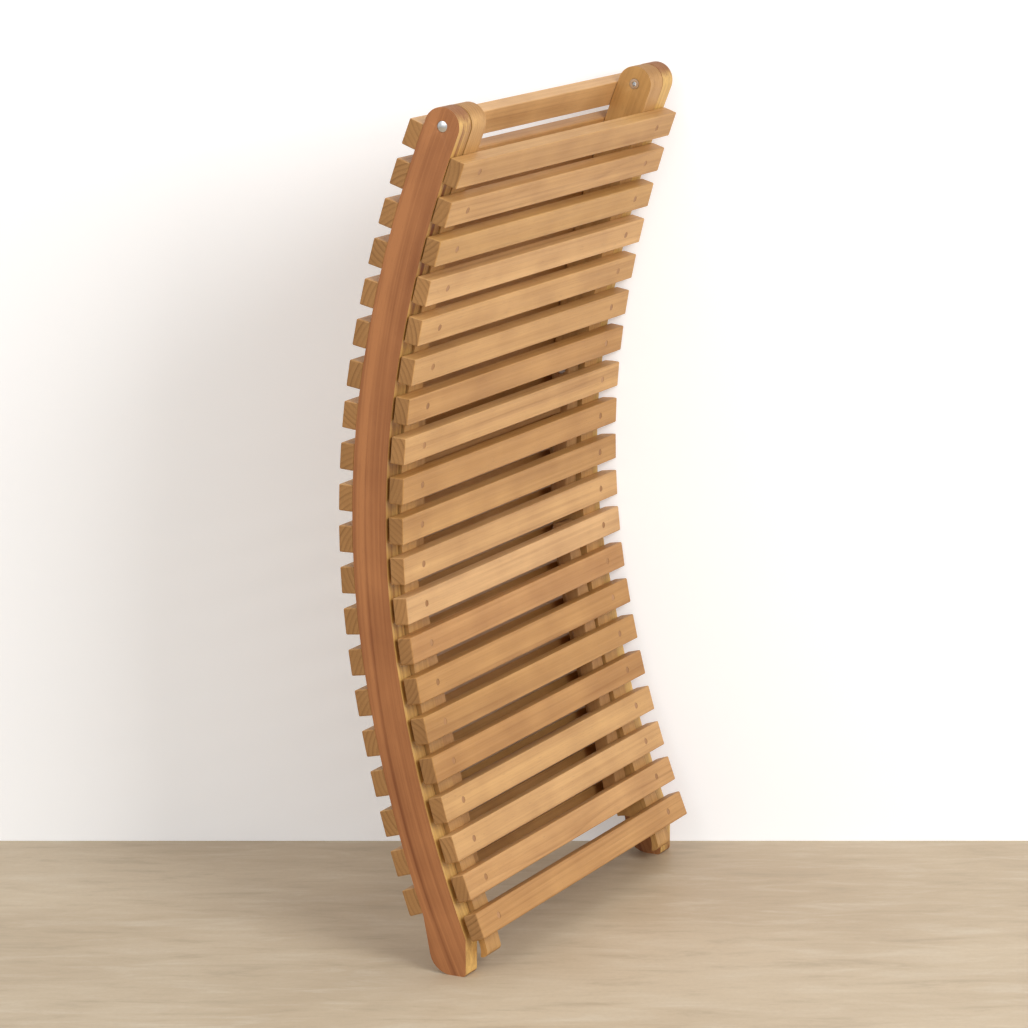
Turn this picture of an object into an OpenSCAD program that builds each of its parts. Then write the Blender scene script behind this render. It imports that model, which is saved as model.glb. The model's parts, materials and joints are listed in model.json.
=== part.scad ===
// Folding slatted lounger, folded flat and standing on its feet.
// Two curved frames nest in one another and turn on a pair of barrel bolts
// at the top. Two leg frames lie inside the inner frame.
// X runs along the slats, the hollow side faces -Y and Z is up.

/* [Overall] */
// Overall width along the slats
overall_w = 600; // [560:5:640]
// How far the inner frame stands open at rest, in degrees
rest_open = 0.4; // [0.3:0.1:0.6]

/* [Curve] */
// Lean of the rails at the hinge, in degrees
top_lean = 22; // [20:1:24]
// Radius of the upper stretch of the rails
r_top = 1475; // [1300:5:1700]
// Radius of the middle stretch of the rails
r_mid = 1105; // [1000:5:1300]
// Radius of the lower stretch of the rails
r_low = 1590; // [1400:5:1800]
// Length of the upper stretch
len_top = 290; // [250:5:330]
// Length of the middle stretch
len_mid = 385; // [350:5:420]

/* [Rails] */
// Depth of each rail across the curve
rail_d = 46; // [42:1:46]
// Thickness of the outer rails
outer_t = 30; // [26:1:32]
// Thickness of the inner rails
inner_t = 36; // [32:1:38]
// Gap between outer and inner rail
rail_gap = 2; // [1:0.5:3]
// Height of the nose of the inner rails over the floor
nose_h = 17; // [14:1:24]

/* [Slats] */
// Number of slats on each frame
n_slats = 20; // [16:1:20]
// Height of a slat
slat_h = 33; // [28:1:34]
// Thickness of a slat
slat_t = 19; // [16:1:20]
// Pitch of the front slats along the rails
front_pitch = 50.8; // [50:0.1:51]
// Pitch of the back slats along the rails
back_pitch = 49.5; // [49:0.1:50]
// Hinge to the middle of the first front slat
front_first = 46; // [44:1:48]
// Hinge to the middle of the first back slat
back_first = 24; // [23:1:26]
// Diameter of the plugs over the screws
plug_dia = 8; // [6:1:12]
// Depth of the plugs
plug_len = 7; // [5:1:9]

/* [Leg frames] */
// Thickness of a leg along X
leg_t = 30; // [24:1:32]
// Depth of a leg
leg_d = 21; // [18:1:22]
// Gap between a leg and its rail
leg_gap = 3; // [2:0.5:4]
// Short leg, from its pivot to its tip
short_len = 200; // [190:1:202]
// Long leg, from its pivot to its tip
long_len = 383; // [370:1:384]

/* [Bolts] */
// Diameter of the barrel in the main hinge
barrel_dia = 10; // [8:1:10]
// Diameter of the bolt heads
head_dia = 13; // [12:1:15]
// Diameter of the leg pivot bolts
pivot_dia = 8; // [6:1:8]

/* [Hidden] */
// running clearance of a bolt in its bore, on the radius
run = 0.05;
// smallest gap left between a flat slat and a curved rail
seat = 0.05;
// the inner rails sit this much forward of the outer rails
inner_off = -0.5;
hw = overall_w / 2;
outer_in = hw - outer_t;
inner_out = outer_in - rail_gap;
inner_in = inner_out - inner_t;
leg_out = inner_in - leg_gap;
leg_in = leg_out - leg_t;
hd = rail_d / 2;
barrel_r = barrel_dia / 2;
head_r = head_dia / 2;
pivot_r = pivot_dia / 2;
leg_r = leg_d / 2;

// height of the hinge over the floor, and the foot below it
pin_h = 1037;
foot_front = -28.5;
foot_mid = -8;
foot_r = 29;
foot_lean = 11;
foot_corner = 4;
heel_rise = 90;
toe_rise = 37;
// lengths at which the foot takes over from the curve
foot_from = 945;
toe_from = 1020;
foot_to = 1040;

// lower end of the inner rails, below length nose_s: a straight front that
// leaves the curve at nose_from, a small radius below and a hollow behind
nose_s = 900;
nose_from = 1020;
nose_to = 1065;
nose_lean = 16;
nose_r = 7;
nose_t = 9.3;
nose_clip = -850;
hollow_r = 38;
hollow_drop = 2;

// recess round the bolt heads, and its gap on the radius
head_sink = 2;
head_gap = 0.5;
// reach of the outlines that cut a profile: across a rail, and past everything
wide = 60;
far = 400;

// direction of the rails: angle of the outward normal at length s
s_mid = len_top;
s_low = len_top + len_mid;
deg = 180 / PI;
lean_mid = top_lean - len_top / r_top * deg;
lean_low = lean_mid - len_mid / r_mid * deg;
function lean(s) =
    s < s_mid ? top_lean - s / r_top * deg :
    s < s_low ? lean_mid - (s - s_mid) / r_mid * deg :
    lean_low - (s - s_low) / r_low * deg;
function nrm(a) = [cos(a), sin(a)];
function tng(a) = [sin(a), -cos(a)];

// centres of the three arcs, each tangent to the next
c_top = -r_top * nrm(top_lean);
c_mid = c_top + (r_top - r_mid) * nrm(lean_mid);
c_low = c_mid + (r_mid - r_low) * nrm(lean_low);
function on_rail(s) =
    s < s_mid ? c_top + r_top * nrm(lean(s)) :
    s < s_low ? c_mid + r_mid * nrm(lean(s)) :
    c_low + r_low * nrm(lean(s));
function turned(p, a) = [p[0] * cos(a) - p[1] * sin(a), p[0] * sin(a) + p[1] * cos(a)];

// slat stations and the faces they rest on
function front_s(i) = front_first + (i - 1) * front_pitch;
function back_s(i) = back_first + (i - 1) * back_pitch;
front_seat = hd - inner_off + slat_h * slat_h / (8 * r_mid) + seat;
back_seat = hd + seat;

// leg lines: a straight bar beside the curve, nearest the slats at s
short_s = 465;
short_off = -9;
short_piv = 80;
long_s = 757;
long_off = -10.5;
long_piv = 218;
short_pivot = on_rail(short_s) + short_off * nrm(lean(short_s)) - short_piv * tng(lean(short_s));
long_pivot = on_rail(long_s) + long_off * nrm(lean(long_s)) + long_piv * tng(lean(long_s));
end_over = 13;

// the origin is the middle of the bounding box at floor level
back_y = [for (i = [1:n_slats]) for (e = [-1, 1])
    (on_rail(back_s(i)) + (back_seat + slat_t) * nrm(lean(back_s(i)))
        + e * slat_h / 2 * tng(lean(back_s(i))))[0]];
front_y = [for (i = [1:n_slats]) for (e = [-1, 1])
    turned(on_rail(front_s(i)) - (front_seat + slat_t) * nrm(lean(front_s(i)))
        + e * slat_h / 2 * tng(lean(front_s(i))), -rest_open)[0]];
mid_y = (max(back_y) + min(front_y)) / 2;
pin_y = -mid_y;
echo(hinge = [pin_y, pin_h]);
echo(short_pivot_at = turned(short_pivot, -rest_open) + [pin_y, pin_h]);
echo(long_pivot_at = turned(long_pivot, -rest_open) + [pin_y, pin_h]);
echo(foot_flat = [pin_y + (foot_front + 4 + foot_mid) / 2, 0]);

function two(i) = i < 10 ? str("0", i) : str(i);

teak = [0.78, 0.59, 0.40];
teak_red = [0.69, 0.46, 0.30];
teak_dark = [0.66, 0.48, 0.33];
steel = [0.80, 0.81, 0.82];

// places the outer frame: profile x to +Y, profile y to +Z, extrusion to +X
module outer_place() {
    translate([0, pin_y, pin_h]) children();
}
// places the inner frame, a little open about the hinge
module inner_place() {
    translate([0, pin_y, pin_h]) rotate([-rest_open, 0, 0]) children();
}
// stands a profile up and extrudes it from x0 over t
module slab(x0, t) {
    translate([x0, 0, 0]) rotate([90, 0, 90]) linear_extrude(t) children();
}
// a point beside the curve: length s along it, n across it
function beside(s, n) = on_rail(s) + n * nrm(lean(s));
// one bent stretch of rail from sa to sb, about its centre c
module stretch(c, r, sa, sb, off) {
    intersection() {
        translate(c) difference() {
            circle(r + off + hd, $fn = 360);
            circle(r + off - hd, $fn = 360);
        }
        polygon([beside(sa, wide), beside(sb, wide), beside(sb, -wide), beside(sa, -wide)]);
    }
}
// the whole curve as a band, from the hinge to length s1
module band(s1, off) {
    stretch(c_top, r_top, 0, s_mid, off);
    stretch(c_mid, r_mid, s_mid, s_low, off);
    stretch(c_low, r_low, s_low, s1, off);
}
// round end over the hinge
module round_end(off) {
    intersection() {
        translate(beside(0, off)) circle(hd, $fn = 96);
        polygon([beside(0, wide), beside(0, -wide), beside(0, -wide) - wide * tng(top_lean),
            beside(0, wide) - wide * tng(top_lean)]);
    }
}
// front line of the nose at height z, and the middle of its lower radius
nose_top = beside(nose_from, inner_off - hd);
function nose_front(z) = nose_top[0] + (z - nose_top[1]) * tan(nose_lean);
nose_z = nose_h + nose_r - pin_h;
nose_at = [nose_front(nose_z) + nose_r / cos(nose_lean), nose_z];
nose_turn = 90 + nose_lean;
// the round heel, from its straight back at k = 0 to the floor at k = 1
foot_at = [foot_mid, foot_r - pin_h];
function heel(k) = foot_at + foot_r * nrm(-foot_lean - k * (90 - foot_lean));
module outer_profile() {
    intersection() {
        // the front of the foot is cut upright
        polygon([[far, wide], [foot_front, wide], [foot_front, foot_corner - pin_h],
            [foot_front + 0.3 * foot_corner, 0.3 * foot_corner - pin_h],
            [foot_front + foot_corner, -pin_h],
            [foot_front + 2 * foot_corner, -foot_corner - pin_h], [far, -foot_corner - pin_h]]);
        union() {
            band(foot_to, 0);
            round_end(0);
            // the foot, with a straight back and a round heel
            polygon(concat([[2 * foot_front, -pin_h], [2 * foot_front, toe_rise - pin_h],
                beside(toe_from, 0), beside(foot_from, 0), heel(0) - heel_rise * tng(-foot_lean)],
                [for (k = [0:7]) heel(k / 7)]));
        }
    }
}
module inner_profile() {
    band(nose_s, inner_off);
    round_end(inner_off);
    difference() {
        intersection() {
            stretch(c_low, r_low, nose_s, nose_to, inner_off);
            polygon(concat([[far, nose_clip], [nose_front(nose_clip), nose_clip]],
                [for (k = [0:6]) nose_at + nose_r * nrm(180 - nose_lean + k * nose_turn / 6)],
                [[far, nose_z - nose_r]]));
        }
        translate([nose_front(nose_z) + nose_t + hollow_r, nose_z - hollow_drop])
            circle(hollow_r, $fn = 96);
    }
}
module x_cyl(x0, x1, r) {
    translate([x0, 0, 0]) rotate([0, 90, 0]) cylinder(h = x1 - x0, r = r, $fn = 64);
}
// moves to a point of the profile
module at_point(p) {
    translate([0, p[0], p[1]]) children();
}

// outer rail on the +X side, bored for the barrel and recessed for the head
module outer_rail() {
    color(teak_red) outer_place() difference() {
        slab(outer_in, outer_t) outer_profile();
        x_cyl(outer_in - 1, hw + 1, barrel_r + run);
        x_cyl(hw - head_sink, hw + 1, head_r + head_gap);
    }
}
module inner_rail() {
    color(teak) inner_place() difference() {
        slab(inner_in, inner_t) inner_profile();
        x_cyl(inner_in - 1, inner_out + 1, barrel_r + run);
        x_cyl(inner_in - 1, inner_in + 1.5, head_r + head_gap);
        for (p = [short_pivot, long_pivot]) at_point(p) {
            x_cyl(inner_in - 1, inner_out + 1, pivot_r + run);
            x_cyl(inner_out - head_sink, inner_out + 1, head_r + head_gap);
        }
    }
}
// a slat lying across the rails at length s; face is the offset of its seat
module slat(s, face, side, plug_x) {
    at_point(on_rail(s)) rotate([lean(s), 0, 0]) difference() {
        translate([-hw, side > 0 ? face : -face - slat_t, -slat_h / 2])
            cube([overall_w, slat_t, slat_h]);
        for (e = [-1, 1]) translate([e * plug_x, side * (face + slat_t - plug_len), 0])
            rotate([-90 * side, 0, 0]) cylinder(h = plug_len + 1, d = plug_dia, $fn = 48);
    }
}
module plug_pair(s, face, side, plug_x) {
    at_point(on_rail(s)) rotate([lean(s), 0, 0])
        for (e = [-1, 1]) translate([e * plug_x, side * (face + slat_t - plug_len), 0])
            rotate([-90 * side, 0, 0]) cylinder(h = plug_len, d = plug_dia, $fn = 48);
}
outer_mid = (hw + outer_in) / 2;
inner_mid = (inner_out + inner_in) / 2;
module back_slat(i) {
    color(teak) outer_place() slat(back_s(i), back_seat, 1, outer_mid);
}
module front_slat(i) {
    color(teak) inner_place() slat(front_s(i), front_seat, -1, inner_mid);
}
module back_plugs() {
    color(teak_dark) outer_place()
        for (i = [1:n_slats]) plug_pair(back_s(i), back_seat, 1, outer_mid);
}
module front_plugs() {
    color(teak_dark) inner_place()
        for (i = [1:n_slats]) plug_pair(front_s(i), front_seat, -1, inner_mid);
}
// round-headed bolt from outside and flanged barrel from inside, on both sides
module hinge_bolts() {
    color(steel) outer_place() for (e = [0, 1]) mirror([e, 0, 0]) {
        x_cyl(inner_in + 6, hw - 1.5, barrel_r - 2);
        x_cyl(hw - 2, hw - 1, head_r);
        translate([hw - 1, 0, 0]) rotate([0, 90, 0]) rotate_extrude($fn = 64)
            intersection() {
                translate([0, -22]) circle(23, $fn = 128);
                square([head_r, 1]);
            }
    }
}
module hinge_barrels() {
    color(steel) outer_place() for (e = [0, 1]) mirror([e, 0, 0]) difference() {
        union() {
            x_cyl(inner_in + 1, hw - 4, barrel_r);
            x_cyl(inner_in - 0.3, inner_in + 1.4, head_r);
        }
        x_cyl(inner_in + 5, hw, barrel_r - 2);
        translate([inner_in - 1, 0, 0]) rotate([0, 90, 0]) cylinder(h = 4, r = 3, $fn = 6);
    }
}
module leg_pivot_bolts() {
    color(steel) inner_place() for (e = [0, 1]) mirror([e, 0, 0])
        for (p = [short_pivot, long_pivot]) at_point(p) {
            x_cyl(leg_in - 1, inner_out - 1, pivot_r);
            x_cyl(inner_out - head_sink, inner_out - 0.1, head_r);
            x_cyl(leg_in - 2, leg_in - 0.1, head_r);
        }
}
module leg_spacers() {
    color(steel) inner_place() for (e = [0, 1]) mirror([e, 0, 0])
        for (p = [short_pivot, long_pivot]) at_point(p) difference() {
            x_cyl(leg_out + 0.1, inner_in - 0.1, 9);
            x_cyl(leg_out - 1, inner_in + 1, pivot_r + run);
        }
}
// straight leg with round ends, from its pivot along +Z by len
module leg(len) {
    difference() {
        slab(leg_out - leg_t, leg_t) {
            translate([-leg_r, leg_r - end_over]) square([leg_d, len + end_over - leg_d]);
            translate([0, leg_r - end_over]) circle(leg_r, $fn = 64);
            translate([0, len - leg_r]) circle(leg_r, $fn = 64);
        }
        x_cyl(leg_in - 1, leg_out + 1, pivot_r + run);
    }
}
module short_place() {
    inner_place() at_point(short_pivot) rotate([lean(short_s) + 180, 0, 0]) children();
}
module long_place() {
    inner_place() at_point(long_pivot) rotate([lean(long_s), 0, 0]) children();
}
module short_leg() {
    color(teak) short_place() leg(short_len);
}
module long_leg() {
    color(teak) long_place() leg(long_len);
}
// crossbars run between the legs; the short one shows between two slats
module short_leg_crossbar() {
    color(teak) short_place() translate([-leg_in, -leg_r, 28]) cube([2 * leg_in, leg_r, 30]);
}
module long_leg_crossbar() {
    color(teak) long_place() translate([-leg_in, -leg_r + 6, 103]) cube([2 * leg_in, 15, 24]);
}

for (e = [0, 1]) {
    side = e == 0 ? "right" : "left";
    mirror([e, 0, 0]) outer_rail();
    mirror([e, 0, 0]) inner_rail();
    mirror([e, 0, 0]) short_leg();
    mirror([e, 0, 0]) long_leg();
}
for (i = [1:n_slats]) {
    back_slat(i);
    front_slat(i);
}
back_plugs();
front_plugs();
hinge_bolts();
hinge_barrels();
leg_pivot_bolts();
leg_spacers();
short_leg_crossbar();
long_leg_crossbar();
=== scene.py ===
import json
import math
import random

import bmesh
import bpy
from mathutils import Matrix, Vector


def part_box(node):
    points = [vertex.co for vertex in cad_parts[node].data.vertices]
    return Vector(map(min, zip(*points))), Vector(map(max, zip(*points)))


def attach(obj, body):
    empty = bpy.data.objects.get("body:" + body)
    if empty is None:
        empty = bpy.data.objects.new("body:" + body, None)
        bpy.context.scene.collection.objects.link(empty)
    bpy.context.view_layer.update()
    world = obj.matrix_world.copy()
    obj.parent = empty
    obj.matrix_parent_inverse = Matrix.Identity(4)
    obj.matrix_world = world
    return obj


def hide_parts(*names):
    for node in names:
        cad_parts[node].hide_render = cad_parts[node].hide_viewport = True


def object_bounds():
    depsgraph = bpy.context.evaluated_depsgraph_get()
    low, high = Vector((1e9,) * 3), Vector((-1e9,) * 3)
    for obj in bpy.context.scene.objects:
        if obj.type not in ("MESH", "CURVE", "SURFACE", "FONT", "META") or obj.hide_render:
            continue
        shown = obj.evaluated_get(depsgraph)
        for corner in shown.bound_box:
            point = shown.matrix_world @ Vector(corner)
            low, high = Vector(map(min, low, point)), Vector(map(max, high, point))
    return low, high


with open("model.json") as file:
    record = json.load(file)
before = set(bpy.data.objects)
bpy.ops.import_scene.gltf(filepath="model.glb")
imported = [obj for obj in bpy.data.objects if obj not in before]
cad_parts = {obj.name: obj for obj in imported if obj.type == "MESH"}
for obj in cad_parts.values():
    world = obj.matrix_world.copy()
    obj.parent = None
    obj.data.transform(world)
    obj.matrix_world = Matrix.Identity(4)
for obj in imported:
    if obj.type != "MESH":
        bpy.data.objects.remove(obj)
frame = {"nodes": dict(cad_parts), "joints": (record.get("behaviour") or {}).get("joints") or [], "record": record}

MM = 0.001
CAD_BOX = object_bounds()
NODES = frame["nodes"]
RECORD = frame["record"]
SLOTS = {part["node"]: part["material_slot"] for part in RECORD["subparts"]}
BODY_OF = {node: body for body, nodes in RECORD["behaviour"]["bodies"].items() for node in nodes}
AXES = {joint["name"]: Vector(joint["pos_m"]) for joint in frame["joints"]}
HINGE = AXES["fold"]
X = Vector((1, 0, 0))
Y = Vector((0, 1, 0))
Z = Vector((0, 0, 1))


# ---------------------------------------------------------------- shader helpers
class Shader:
    """A material's node tree, with short calls for the nodes used here."""

    def __init__(self, name):
        self.material = bpy.data.materials.new(name)
        self.material.use_nodes = True
        self.tree = self.material.node_tree
        self.tree.nodes.clear()
        self.bsdf = self.node("ShaderNodeBsdfPrincipled")
        out = self.node("ShaderNodeOutputMaterial")
        self.link(self.bsdf.outputs["BSDF"], out.inputs["Surface"])

    def node(self, kind, **settings):
        made = self.tree.nodes.new(kind)
        for key, value in settings.items():
            setattr(made, key, value)
        return made

    def link(self, source, target):
        self.tree.links.new(source, target)

    def feed(self, socket, value):
        if isinstance(value, bpy.types.NodeSocket):
            self.link(value, socket)
        else:
            socket.default_value = value

    def math(self, operation, a, b=0.0, clamp=False):
        made = self.node("ShaderNodeMath", operation=operation, use_clamp=clamp)
        self.feed(made.inputs[0], a)
        self.feed(made.inputs[1], b)
        return made.outputs[0]

    def muladd(self, a, b, c):
        made = self.node("ShaderNodeMath", operation="MULTIPLY_ADD")
        for socket, value in zip(made.inputs, (a, b, c)):
            self.feed(socket, value)
        return made.outputs[0]

    def vector(self, operation, a, b=(0, 0, 0)):
        made = self.node("ShaderNodeVectorMath", operation=operation)
        self.feed(made.inputs[0], a)
        self.feed(made.inputs[1], b)
        return made.outputs["Value" if operation in ("LENGTH", "DOT_PRODUCT") else "Vector"]

    def noise(self, position, stretch, detail=2.0, roughness=0.5, distortion=0.0):
        made = self.node("ShaderNodeTexNoise")
        self.link(self.vector("MULTIPLY", position, stretch), made.inputs["Vector"])
        made.inputs["Scale"].default_value = 1.0
        made.inputs["Detail"].default_value = detail
        made.inputs["Roughness"].default_value = roughness
        made.inputs["Distortion"].default_value = distortion
        return made.outputs["Fac"]

    def band(self, value, low, high, to_low=0.0, to_high=1.0):
        made = self.node("ShaderNodeMapRange", interpolation_type="SMOOTHSTEP")
        self.feed(made.inputs["Value"], value)
        made.inputs["From Min"].default_value = low
        made.inputs["From Max"].default_value = high
        made.inputs["To Min"].default_value = to_low
        made.inputs["To Max"].default_value = to_high
        return made.outputs["Result"]

    def mix(self, factor, a, b, blend="MIX"):
        made = self.node("ShaderNodeMix", data_type="RGBA", blend_type=blend)
        self.feed(made.inputs["Factor"], factor)
        self.feed(made.inputs["A"], a if isinstance(a, bpy.types.NodeSocket) else (*a, 1.0))
        self.feed(made.inputs["B"], b if isinstance(b, bpy.types.NodeSocket) else (*b, 1.0))
        return made.outputs["Result"]

    def bump(self, height, strength, distance):
        made = self.node("ShaderNodeBump")
        made.inputs["Strength"].default_value = strength
        made.inputs["Distance"].default_value = distance
        self.link(height, made.inputs["Height"])
        self.link(made.outputs["Normal"], self.bsdf.inputs["Normal"])

    def ramp(self, value, stops):
        made = self.node("ShaderNodeValToRGB")
        self.link(value, made.inputs["Fac"])
        elements = made.color_ramp.elements
        while len(elements) < len(stops):
            elements.new(0.5)
        for element, (position, level) in zip(elements, stops):
            element.position = position
            element.color = (level, level, level, 1.0)
        return made.outputs["Color"]


def scaled(colour, factor):
    return tuple(channel * factor for channel in colour)


# ---------------------------------------------------------------- materials
def teak(name, light, dark, ring=6.0 * MM, contrast=1.0, streaks=1.0, edge=None):
    """Oiled teak cut from a board: rings round a pith, streaks, fibres, pores and end grain.

    edge paints light: faces that don't look along X get this lighter, golder colour, as if the key light fell on
    them more than on the sides; only part of the difference is the wood's own golder tone.
    """
    s = Shader(name)
    grain = s.node("ShaderNodeAttribute", attribute_name="grain").outputs["Vector"]
    along = s.node("ShaderNodeAttribute", attribute_name="along").outputs["Vector"]
    normal = s.node("ShaderNodeTexCoord").outputs["Normal"]
    board = s.node("ShaderNodeSeparateColor")
    s.link(s.node("ShaderNodeAttribute", attribute_name="board").outputs["Color"], board.inputs["Color"])
    tone, warmth, figure = (board.outputs[i] for i in range(3))
    run = s.node("ShaderNodeSeparateXYZ")
    s.link(grain, run.inputs["Vector"])

    # growth rings, bent by slow noise so that long faces show a few flames
    bend = s.math("SUBTRACT", s.noise(grain, (1.6, 10, 10), 2.0, 0.45), 0.5)
    bend = s.math("MULTIPLY", bend, s.muladd(s.math("MULTIPLY", figure, figure), 0.034, 0.004))
    radius = s.vector("LENGTH", s.vector("MULTIPLY", grain, (0, 1, 1)))
    rings = s.math("ADD", s.math("ADD", radius, bend), s.math("MULTIPLY", run.outputs["X"], 0.008))
    rings = s.math("DIVIDE", rings, ring)
    late = s.ramp(s.math("FRACT", rings),
                  [(0.0, 0.30), (0.14, 0.0), (0.50, 0.08), (0.84, 0.75), (0.94, 1.0), (1.0, 0.30)])
    each = s.node("ShaderNodeTexWhiteNoise", noise_dimensions="1D")
    s.link(s.math("FLOOR", rings), each.inputs["W"])
    late = s.math("MULTIPLY", late, s.muladd(each.outputs["Value"], 0.7, 0.3))

    # streaks and fibres along the grain, and soft clouds
    wide = s.noise(grain, (0.7, 42, 42), 2.0, 0.5)
    narrow = s.noise(grain, (1.8, 230, 230), 3.0, 0.6)
    fibre = s.noise(grain, (14, 1400, 1400), 2.0, 0.6)
    cloud = s.noise(grain, (11, 16, 16), 2.0, 0.5)
    mineral = s.band(s.noise(grain, (0.7, 80, 80), 2.0, 0.5), 0.60, 0.76)
    pores = s.band(s.noise(grain, (70, 2200, 2200), 1.0, 0.5), 0.64, 0.74)

    depth = s.muladd(late, s.muladd(figure, 0.30 * contrast, 0.04 * contrast), 0.34)
    for layer, weight in ((wide, 1.05 * streaks), (narrow, 0.80 * streaks), (cloud, 0.95), (fibre, 0.32)):
        depth = s.muladd(s.math("SUBTRACT", layer, 0.5), weight, depth)
    depth = s.muladd(mineral, 0.34 * streaks, depth)
    end_light = (0.66 * light[0], 0.60 * light[1], 0.58 * light[2])
    # painted highlight: faces that don't look along X are tinted towards the lighter edge colour, standing in for
    # more light on them than on the sides
    if edge:
        sideways = s.band(s.math("ABSOLUTE", s.vector("DOT_PRODUCT", normal, (1, 0, 0))), 0.35, 0.85)
        light = s.mix(sideways, edge, light)
    colour = s.mix(depth, light, dark)

    # each board has its own tone and warmth
    shade = s.node("ShaderNodeHueSaturation")
    s.link(colour, shade.inputs["Color"])
    s.link(s.muladd(warmth, -0.022, 0.511), shade.inputs["Hue"])
    s.link(s.muladd(tone, 0.60, 0.70), shade.inputs["Value"])
    s.link(s.muladd(tone, -0.22, 1.11), shade.inputs["Saturation"])
    colour = s.mix(s.math("MULTIPLY", pores, 0.28), shade.outputs["Color"], scaled(dark, 0.42))

    # end grain drinks more oil: darker and duller, with crisp rings
    facing = s.math("ABSOLUTE", s.vector("DOT_PRODUCT", along, normal))
    end = s.band(facing, 0.55, 0.97)
    vessels = s.band(s.noise(grain, (30, 1100, 1100), 2.0, 0.6), 0.52, 0.68)
    end_colour = s.mix(s.math("MULTIPLY", late, 0.85), end_light, scaled(dark, 0.50))
    end_colour = s.mix(s.math("MULTIPLY", vessels, 0.30), end_colour, scaled(dark, 0.30))
    end_colour = s.mix(s.band(cloud, 0.3, 0.7, 0.0, 0.35), end_colour, scaled(dark, 0.8))
    end_colour = s.mix(1.0, end_colour, s.mix(tone, (0.78, 0.76, 0.74), (1.22, 1.22, 1.22)), "MULTIPLY")
    colour = s.mix(s.math("MULTIPLY", end, 0.92), colour, end_colour)
    s.link(colour, s.bsdf.inputs["Base Color"])

    s.link(s.muladd(end, 0.18, s.muladd(narrow, 0.18, 0.40)), s.bsdf.inputs["Roughness"])
    s.bsdf.inputs["Specular IOR Level"].default_value = 0.38
    relief = s.muladd(pores, -0.8, s.math("MULTIPLY", fibre, 0.5))
    s.bump(s.muladd(late, -0.2, relief), 0.3, 0.25 * MM)
    return s.material


def steel(name, colour, rough):
    """Stainless steel with turning marks and handling smears."""
    s = Shader(name)
    place = s.node("ShaderNodeTexCoord").outputs["Object"]
    smear = s.noise(place, (240, 240, 240), 3.0, 0.6)
    marks = s.noise(place, (2600, 700, 700), 2.0, 0.6)
    s.link(s.mix(smear, scaled(colour, 0.84), colour), s.bsdf.inputs["Base Color"])
    s.link(s.muladd(smear, 0.16, rough), s.bsdf.inputs["Roughness"])
    s.bsdf.inputs["Metallic"].default_value = 1.0
    s.bump(marks, 0.12, 0.05 * MM)
    return s.material


def moulded(name, colour):
    """Dark moulded plastic with a fine grain."""
    s = Shader(name)
    place = s.node("ShaderNodeTexCoord").outputs["Object"]
    cloud = s.noise(place, (300, 300, 300), 3.0, 0.6)
    grit = s.noise(place, (2400, 2400, 2400), 2.0, 0.5)
    s.link(s.mix(cloud, scaled(colour, 0.7), scaled(colour, 1.3)), s.bsdf.inputs["Base Color"])
    s.link(s.muladd(grit, 0.2, 0.45), s.bsdf.inputs["Roughness"])
    s.bump(grit, 0.3, 0.05 * MM)
    return s.material


def pale_floor(name):
    """Pale worn floor, with broad clouds and faint brushed streaks."""
    s = Shader(name)
    place = s.node("ShaderNodeTexCoord").outputs["Object"]
    turned = s.node("ShaderNodeVectorRotate", rotation_type="Z_AXIS")
    turned.inputs["Angle"].default_value = math.radians(63)
    s.link(place, turned.inputs["Vector"])
    lengthwise = turned.outputs["Vector"]
    cloud = s.noise(lengthwise, (1.3, 2.1, 1), 5.0, 0.6, 0.6)
    brushed = s.noise(lengthwise, (7, 30, 5), 6.0, 0.68, 0.4)
    speck = s.noise(place, (160, 160, 160), 3.0, 0.6)
    colour = s.mix(s.band(cloud, 0.36, 0.66), (0.47, 0.365, 0.240), (0.56, 0.455, 0.320))
    colour = s.mix(s.band(brushed, 0.48, 0.72, 0.0, 0.40), colour, (0.66, 0.59, 0.47))
    colour = s.mix(s.band(brushed, 0.50, 0.28, 0.0, 0.45), colour, (0.32, 0.25, 0.165))
    colour = s.mix(s.band(speck, 0.35, 0.75, 0.0, 0.12), colour, (0.36, 0.28, 0.19))
    s.link(colour, s.bsdf.inputs["Base Color"])
    s.link(s.band(cloud, 0.3, 0.7, 0.48, 0.62), s.bsdf.inputs["Roughness"])
    s.bump(s.muladd(speck, 0.2, brushed), 0.2, 1.5 * MM)
    return s.material


def pale_wall(name):
    """White plaster that is seen only from its front, so that the lounger can be looked at from behind."""
    s = Shader(name)
    place = s.node("ShaderNodeTexCoord").outputs["Object"]
    cloud = s.noise(place, (1.5, 1.5, 1.5), 4.0, 0.6)
    s.link(s.mix(cloud, (0.90, 0.905, 0.91), (0.94, 0.94, 0.94)), s.bsdf.inputs["Base Color"])
    s.bsdf.inputs["Roughness"].default_value = 0.9
    s.bsdf.inputs["Emission Color"].default_value = (0.94, 0.97, 1, 1)
    s.bsdf.inputs["Emission Strength"].default_value = 0.17
    s.bump(s.noise(place, (30, 30, 30), 4.0, 0.6), 0.1, 1.0 * MM)
    clear = s.node("ShaderNodeBsdfTransparent")
    side = s.node("ShaderNodeMixShader")
    s.link(s.node("ShaderNodeNewGeometry").outputs["Backfacing"], side.inputs["Fac"])
    s.link(s.bsdf.outputs["BSDF"], side.inputs[1])
    s.link(clear.outputs["BSDF"], side.inputs[2])
    out = next(n for n in s.tree.nodes if n.type == "OUTPUT_MATERIAL")
    s.link(side.outputs["Shader"], out.inputs["Surface"])
    return s.material


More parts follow.
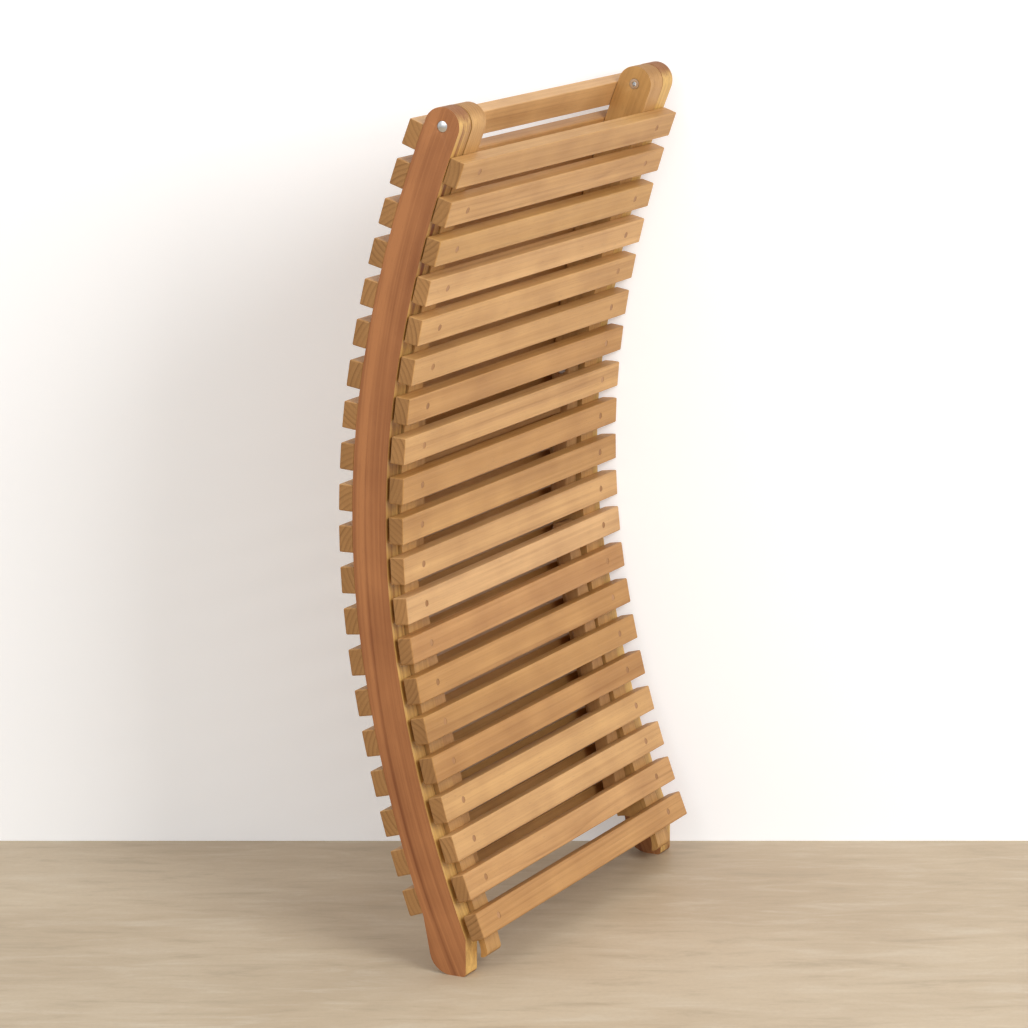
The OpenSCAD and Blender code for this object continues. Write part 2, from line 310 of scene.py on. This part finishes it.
MATERIALS = {
    "slat_wood": teak("slat_teak", (0.60, 0.332, 0.118), (0.34, 0.157, 0.043)),
    # outer rail: the edge colour is a painted highlight on its front and top faces, lighter than the sides as if
    # lit more; the redder sides are partly the wood's own colour
    "outer_rail_wood": teak("outer_rail_teak", (0.46, 0.192, 0.066), (0.215, 0.070, 0.020), streaks=1.4,
                            edge=(0.74, 0.460, 0.130)),
    "inner_rail_wood": teak("inner_rail_teak", (0.61, 0.340, 0.112), (0.35, 0.165, 0.046)),
    "leg_wood": teak("leg_teak", (0.58, 0.315, 0.120), (0.34, 0.155, 0.050)),
    "plug_wood": teak("plug_teak", (0.42, 0.205, 0.074), (0.24, 0.105, 0.034), contrast=0.6),
    "stainless_steel": steel("stainless_steel", (0.80, 0.80, 0.79), 0.16),
    "spacer_plastic": moulded("spacer_plastic", (0.03, 0.03, 0.032)),
}


# ---------------------------------------------------------------- pieces
def show(name, mesh, node):
    """Puts a finished mesh in place of a CAD node."""
    piece = bpy.data.objects.new(name, mesh)
    bpy.context.scene.collection.objects.link(piece)
    mesh.materials.clear()
    mesh.materials.append(MATERIALS[SLOTS[node]])
    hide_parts(node)
    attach(piece, BODY_OF[node])
    return piece


def smooth(piece, angle=35):
    """Soft shading that keeps the broad faces flat."""
    piece.data.shade_smooth()
    piece.data.set_sharp_from_angle(angle=math.radians(angle))
    weighted = piece.modifiers.new("faces", "WEIGHTED_NORMAL")
    weighted.keep_sharp = True


def store(mesh, name, kind, values):
    """Writes one vector or colour for each vertex."""
    made = mesh.attributes.new(name, kind, "POINT")
    flat = [number for value in values for number in value]
    made.data.foreach_set("vector" if kind == "FLOAT_VECTOR" else "color", flat)


class Board:
    """The board that a piece is cut from: its grain, its pith and its tone."""

    def __init__(self, seed, tone, warmth=0.5, figure=0.5, pith_angle=None):
        draw = random.Random(seed)
        angle = math.radians(draw.uniform(15, 165) if pith_angle is None else pith_angle)
        reach = draw.uniform(45, 110) * MM
        self.pith = Vector((0, reach * math.cos(angle), reach * math.sin(angle)))
        self.pith.x = draw.uniform(0.0, 40.0)
        self.look = (tone, warmth, figure, 1.0)

    def mark(self, mesh, place, along):
        """place gives a point's (length, width, depth) in the board; along is its grain's direction."""
        points = [v.co for v in mesh.vertices]
        store(mesh, "grain", "FLOAT_VECTOR", [Vector(place(p)) + self.pith for p in points])
        store(mesh, "along", "FLOAT_VECTOR", [along(p) for p in points])
        store(mesh, "board", "FLOAT_COLOR", [self.look] * len(points))


def wide_face(node, outward):
    """Centre, half sizes and the outward normal of a slat, read from its CAD mesh."""
    mesh = NODES[node].data
    areas = {}
    for face in mesh.polygons:
        if abs(face.normal.x) < 0.1 and face.normal.dot(outward) > 0:
            key = tuple(round(c, 3) for c in face.normal)
            areas[key] = areas.get(key, 0) + face.area
    normal = Vector(max(areas, key=areas.get)).normalized()
    up = normal.cross(X).normalized()
    spans = []
    for axis in (X, up, normal):
        reach = [axis.dot(v.co) for v in mesh.vertices]
        spans.append((min(reach), max(reach)))
    centre = sum((axis * (a + b) / 2 for axis, (a, b) in zip((X, up, normal), spans)), Vector())
    half = [(b - a) / 2 for a, b in spans]
    return centre, half, up, normal


def rounded_box(half, radius):
    """A box with all edges rounded, about the origin."""
    box = bmesh.new()
    bmesh.ops.create_cube(box, size=2.0)
    bmesh.ops.scale(box, vec=half, verts=box.verts)
    bmesh.ops.bevel(box, geom=box.edges[:], offset=radius, segments=3, profile=0.5, affect="EDGES")
    return box


def bored(mesh, places, radius, depth):
    """Cuts blind round holes, straight down from local +Z."""
    cutter = bmesh.new()
    for x, top in places:
        spot = Matrix.Translation((x, 0, top))
        bmesh.ops.create_cone(cutter, cap_ends=True, segments=ROUND_SIDES, radius1=radius, radius2=radius,
                              depth=2 * depth, matrix=spot)
    tool_mesh = bpy.data.meshes.new("bore_tool")
    cutter.to_mesh(tool_mesh)
    cutter.free()
    tool = bpy.data.objects.new("bore_tool", tool_mesh)
    work = bpy.data.objects.new("bore_work", mesh)
    for item in (tool, work):
        bpy.context.scene.collection.objects.link(item)
    cut = work.modifiers.new("cut", "BOOLEAN")
    cut.operation = "DIFFERENCE"
    cut.solver = "EXACT"
    cut.object = tool
    result = bpy.data.meshes.new_from_object(work.evaluated_get(bpy.context.evaluated_depsgraph_get()))
    for item in (tool, work):
        bpy.data.objects.remove(item)
    return result


PLUG_GAP = 0.15 * MM
PLUG_SINK = 0.1 * MM
PLUG_CHAMFER = 0.35 * MM
PLUG_LENGTH = 4 * MM
PLUG_BORE = 3 * MM
ROUND_SIDES = 32
# how far from a joint's axis an edge counts as the rim of a bore
BORE_REACH = 9 * MM
# closer points than this are one point
WELD = 0.005 * MM


def plug_bore(node):
    """Where the plug bores of a slat stand on either side along X, and their radius, from its CAD mesh."""
    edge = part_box(node)[1].x
    right = [v.co.x for v in NODES[node].data.vertices if MM < v.co.x < edge - MM]
    return (min(right) + max(right)) / 2, (max(right) - min(right)) / 2


def slat(node, outward, board):
    """A slat with soft edges and two plugs, in place of its CAD node."""
    draw = random.Random(node)
    centre, half, up, normal = wide_face(node, outward)
    box = rounded_box(half, draw.uniform(1.3, 2.1) * MM)
    mesh = bpy.data.meshes.new(node + "_board")
    box.to_mesh(mesh)
    box.free()
    middle, radius = plug_bore(node)
    places = (-middle, middle)
    mesh = bored(mesh, [(x, half[2]) for x in places], radius + PLUG_GAP, PLUG_BORE)
    board.mark(mesh, lambda p: p, lambda p: X)
    seat = Matrix.Translation(centre) @ Matrix((X, up, normal)).transposed().to_4x4()
    mesh.transform(seat)
    smooth(show(node + "_board", mesh, node))
    return [seat @ Matrix.Translation((x, 0, half[2] - PLUG_SINK)) for x in places]


def dowel(radius):
    """A short dowel under local Z = 0, with a small chamfer round its top."""
    one = bmesh.new()
    bmesh.ops.create_cone(one, cap_ends=True, segments=ROUND_SIDES, radius1=radius, radius2=radius,
                          depth=PLUG_LENGTH, matrix=Matrix.Translation((0, 0, -PLUG_LENGTH / 2)))
    rim = [e for e in one.edges if all(abs(v.co.z) < 1e-6 for v in e.verts)]
    bmesh.ops.bevel(one, geom=rim, offset=PLUG_CHAMFER, segments=2, profile=0.5, affect="EDGES")
    mesh = bpy.data.meshes.new("dowel")
    one.to_mesh(mesh)
    one.free()
    return mesh


def plug_set(node, seats):
    """All the plugs of one frame, each with its grain turned its own way."""
    draw = random.Random(node)
    template = dowel(plug_bore("front_slat_01")[1])
    whole = bmesh.new()
    grain, along, look = [], [], []
    for seat in seats:
        twist = Matrix.Rotation(draw.uniform(-0.5, 0.5) + math.pi / 2, 4, "Z")
        shift = Vector((draw.uniform(0, 9), draw.uniform(0.03, 0.06), draw.uniform(0.03, 0.06)))
        tint = (draw.uniform(0.25, 0.75), 0.5, 0.5, 1.0)
        direction = seat.to_3x3() @ (twist.to_3x3().inverted() @ X)
        for vert in template.vertices:
            grain.append(twist @ vert.co + shift)
            along.append(direction)
            look.append(tint)
        placed = template.copy()
        placed.transform(seat)
        whole.from_mesh(placed)
        bpy.data.meshes.remove(placed)
    mesh = bpy.data.meshes.new(node + "_dowels")
    whole.to_mesh(mesh)
    whole.free()
    store(mesh, "grain", "FLOAT_VECTOR", grain)
    store(mesh, "along", "FLOAT_VECTOR", along)
    store(mesh, "board", "FLOAT_COLOR", look)
    smooth(show(node + "_dowels", mesh, node))


def near_axis(point, reach):
    return any(math.hypot(point.y - a.y, point.z - a.z) < reach for a in AXES.values())


def softened(node, radius, board, place, along):
    """A copy of a CAD node with its outer edges rounded and its bores left sharp."""
    work = bmesh.new()
    work.from_mesh(NODES[node].data)
    bmesh.ops.remove_doubles(work, verts=work.verts, dist=WELD)
    bmesh.ops.dissolve_limit(work, angle_limit=math.radians(0.3), verts=work.verts, edges=work.edges)
    rim = [e for e in work.edges
           if len(e.link_faces) == 2 and e.calc_face_angle() > math.radians(50)
           and not all(near_axis(v.co, BORE_REACH) for v in e.verts)]
    bmesh.ops.bevel(work, geom=rim, offset=radius, segments=3, profile=0.5, affect="EDGES",
                    clamp_overlap=True)
    bmesh.ops.triangulate(work, faces=[f for f in work.faces if len(f.verts) > 4])
    mesh = bpy.data.meshes.new(node + "_board")
    work.to_mesh(mesh)
    work.free()
    board.mark(mesh, place, along)
    smooth(show(node + "_board", mesh, node))


def polished(node):
    """A copy of a metal or plastic CAD node with smooth round faces."""
    mesh = NODES[node].data.copy()
    work = bmesh.new()
    work.from_mesh(mesh)
    bmesh.ops.remove_doubles(work, verts=work.verts, dist=WELD)
    work.to_mesh(mesh)
    work.free()
    smooth(show(node + "_turned", mesh, node), 30)


# ---------------------------------------------------------------- the lounger
def two(number):
    return f"{number:02d}"


SLAT_COUNT = sum(node.startswith("front_slat_") for node in NODES)
# boards that stand out, by the number of their slat, as (tone, warmth, figure)
BACK_BOARDS = {1: (0.74, 0.45, 0.3)}
FRONT_BOARDS = {
    1: (0.48, 0.45, 0.3), 2: (0.56, 0.45, 0.9), 3: (0.44, 0.40, 0.5), 4: (0.72, 0.40, 0.3),
    5: (0.56, 0.45, 0.3), 6: (0.54, 0.45, 0.4), 7: (0.34, 0.60, 0.4), 8: (0.60, 0.45, 0.6),
    9: (0.33, 0.60, 0.3), 10: (0.37, 0.55, 0.4), 11: (0.66, 0.45, 0.4), 12: (0.88, 0.40, 0.5),
    13: (0.38, 0.75, 0.5), 14: (0.28, 0.65, 0.3), 15: (0.29, 0.60, 0.4), 16: (0.27, 0.70, 0.4),
    17: (0.58, 0.45, 0.4), 18: (0.66, 0.45, 0.3), 19: (0.52, 0.60, 0.95), 20: (0.36, 0.65, 0.7),
}


def make_slats():
    """Front slats face -Y, back slats face +Y."""
    for side, outward, boards in (("front", -Y, FRONT_BOARDS), ("back", Y, BACK_BOARDS)):
        seats = []
        for number in range(1, SLAT_COUNT + 1):
            node = f"{side}_slat_{two(number)}"
            draw = random.Random("board " + node)
            drawn = (draw.uniform(0.35, 0.60), draw.uniform(0.35, 0.65), draw.uniform(0.2, 0.6))
            seats += slat(node, outward, Board(node, *boards.get(number, drawn)))
        plug_set(f"{side}_plugs", seats)


# mean radius of the rails, which their grain follows
RAIL_BEND = 1.28


def bent_place():
    """Length, width and depth in a rail: polar about the middle of the curve, so grain follows it."""
    foot = Vector((0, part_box("outer_rail_left")[0].y, 0))
    chord = HINGE - foot
    middle = (HINGE + foot) / 2
    inward = chord.cross(X).normalized()
    if inward.y > 0:
        inward.negate()
    centre = middle + inward * math.sqrt(RAIL_BEND ** 2 - (chord.length / 2) ** 2)

    def place(point):
        arm = Vector((0, point.y - centre.y, point.z - centre.z))
        return (RAIL_BEND * math.atan2(arm.z, arm.y), arm.length - RAIL_BEND, point.x)

    def along(point):
        arm = Vector((0, point.y - centre.y, point.z - centre.z)).normalized()
        return arm.cross(X)

    return place, along


def make_rails():
    place, along = bent_place()
    looks = {"outer_rail_left": (0.52, 0.6, 0.3, 80), "outer_rail_right": (0.50, 0.5, 0.3, 95),
             "inner_rail_left": (0.56, 0.45, 0.4, 70), "inner_rail_right": (0.50, 0.5, 0.4, 100)}
    for node, (tone, warmth, figure, angle) in looks.items():
        radius = (2.0 if node.startswith("outer") else 2.2) * MM
        softened(node, radius, Board(node, tone, warmth, figure, angle), place, along)


def leg_direction(node):
    """The long direction of a straight leg: from its lowest corner to its highest."""
    points = sorted((v.co for v in NODES[node].data.vertices), key=lambda p: p.z)
    low, high = points[0], points[-1]
    return Vector((0, high.y - low.y, high.z - low.z)).normalized()


def make_legs():
    for pair in ("short", "long"):
        for side in ("left", "right"):
            node = f"{pair}_leg_{side}"
            lengthwise = leg_direction(node)
            across = X.cross(lengthwise)
            softened(node, 2.0 * MM, Board(node, 0.5),
                     lambda p, a=lengthwise, b=across: (a.dot(p), b.dot(p), p.x),
                     lambda p, a=lengthwise: a)
        node = f"{pair}_leg_crossbar"
        softened(node, 1.5 * MM, Board(node, 0.55), lambda p: p, lambda p: X)


make_slats()
make_rails()
make_legs()
for fastener in ("hinge_bolts", "hinge_barrels", "leg_pivot_bolts", "leg_spacers"):
    polished(fastener)


# ---------------------------------------------------------------- the studio
def plane(name, size, material, place):
    mesh = bpy.data.meshes.new(name)
    work = bmesh.new()
    bmesh.ops.create_grid(work, x_segments=1, y_segments=1, size=size / 2)
    work.to_mesh(mesh)
    work.free()
    made = bpy.data.objects.new(name, mesh)
    bpy.context.scene.collection.objects.link(made)
    mesh.materials.append(material)
    made.matrix_world = place
    return made


# the camera, from the hinge axis
CAMERA_FROM_HINGE = Vector((-4.426, -2.164, 0.539))
CAMERA_TILT = 12.13
CAMERA_TURN = 63.36
LENS = 140.1
SENSOR = 36.0
STUDIO_SIZE = 14.0
WALL_GAP = 0.05


def make_camera():
    data = bpy.data.cameras.new("camera")
    data.lens = LENS
    data.sensor_width = SENSOR
    camera = bpy.data.objects.new("camera", data)
    bpy.context.scene.collection.objects.link(camera)
    camera.location = HINGE + CAMERA_FROM_HINGE
    camera.rotation_euler = (math.radians(90 - CAMERA_TILT), 0, math.radians(-CAMERA_TURN))
    bpy.context.scene.camera = camera


def make_backdrop():
    """A floor, and a wall square to the view just behind the far foot."""
    forward = Vector((math.sin(math.radians(CAMERA_TURN)), math.cos(math.radians(CAMERA_TURN)), 0))
    far_foot = Vector((CAD_BOX[1].x, CAD_BOX[0].y, 0))
    foot = far_foot + forward * WALL_GAP
    turn = Matrix((forward.cross(Z), Z, -forward)).transposed().to_4x4()
    plane("floor", STUDIO_SIZE, pale_floor("pale_floor"), Matrix.Translation((0, 0, 0)))
    plane("wall", STUDIO_SIZE, pale_wall("pale_wall"), Matrix.Translation(foot) @ turn)


def area_light(name, place, target, size, power):
    data = bpy.data.lights.new(name, "AREA")
    data.shape = "RECTANGLE"
    data.size, data.size_y = size
    data.energy = power
    lamp = bpy.data.objects.new(name, data)
    bpy.context.scene.collection.objects.link(lamp)
    lamp.location = place
    lamp.rotation_mode = "QUATERNION"
    lamp.rotation_quaternion = (Vector(target) - Vector(place)).to_track_quat("-Z", "Y")


def make_lights():
    middle = (CAD_BOX[0] + CAD_BOX[1]) / 2
    area_light("key", (-1.6, -3.5, 2.6), middle, (2.0, 2.0), 106)
    area_light("fill", (-3.8, 0.6, 2.5), middle, (2.6, 2.6), 30)
    world = bpy.data.worlds.new("studio")
    world.use_nodes = True
    sky = world.node_tree.nodes["Background"]
    sky.inputs["Color"].default_value = (0.96, 0.975, 1.0, 1.0)
    sky.inputs["Strength"].default_value = 0.68
    bpy.context.scene.world = world
    bpy.context.scene.view_settings.view_transform = "Standard"


make_camera()
make_backdrop()
make_lights()
